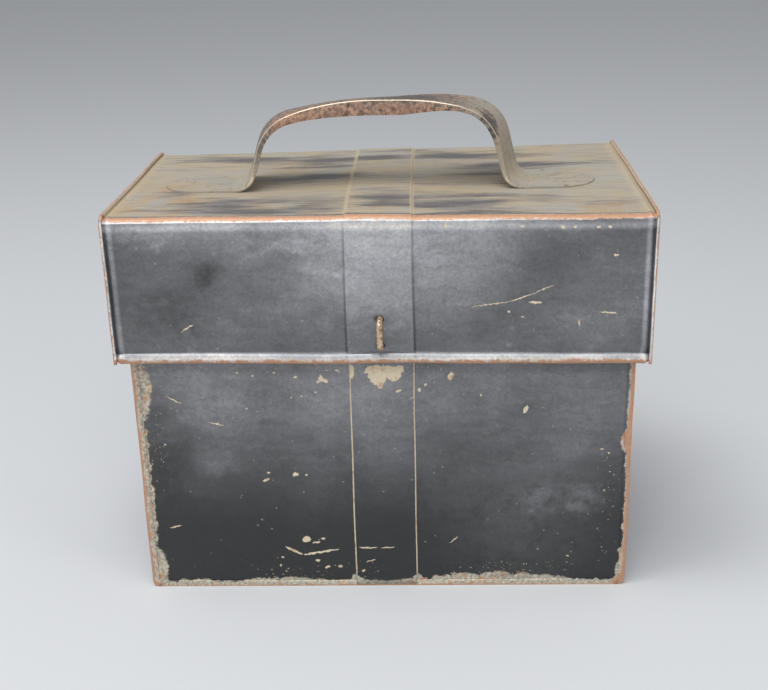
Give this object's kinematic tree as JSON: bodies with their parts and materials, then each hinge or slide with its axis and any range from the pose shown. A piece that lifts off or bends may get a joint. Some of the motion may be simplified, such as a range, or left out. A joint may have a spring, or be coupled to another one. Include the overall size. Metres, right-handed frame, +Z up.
{
  "type": "lunch box",
  "caption": "Old black japanned tinplate lunch box with a deep overhanging hinged lid, a flat strap handle, wired rims and a wire staple on the front.",
  "frame": {"origin": "on the flat underside of the box, in the middle of the body", "axes": "+X along the width to the right as seen from the front, +Y to the back where the hinge is, +Z up"},
  "size_m": [0.3034, 0.1854, 0.2874],
  "materials": {
    "japanned_tin": "worn glossy black japan over tinplate",
    "dusty_strap": "worn paint with dust and rust",
    "rim_wire": "dull drawn iron wire",
    "staple_wire": "rusty iron wire, worn bright"
  },
  "bodies": {
    "box": {"body_left_shell": "japanned_tin", "body_right_shell": "japanned_tin", "body_front_left_sheet": "japanned_tin", "body_front_right_sheet": "japanned_tin", "body_back_left_sheet": "japanned_tin", "body_back_right_sheet": "japanned_tin", "body_front_strip": "japanned_tin", "body_back_strip": "japanned_tin", "body_rim_wire": "rim_wire", "left_hinge_strap": "japanned_tin", "right_hinge_strap": "japanned_tin"},
    "lid": {"lid_left_sheet": "japanned_tin", "lid_right_sheet": "japanned_tin", "lid_cover_strip": "japanned_tin", "lid_left_end": "japanned_tin", "lid_right_end": "japanned_tin", "lid_rim_wire": "rim_wire", "staple": "staple_wire", "handle": "dusty_strap"}
  },
  "joints": [
    {"name": "lid_hinge", "type": "hinge", "parent": "box", "child": "lid", "pos_m": [0, 0.0867, 0.1543], "axis": [-1, 0, 0], "range_deg": [0, 180]}
  ]
}
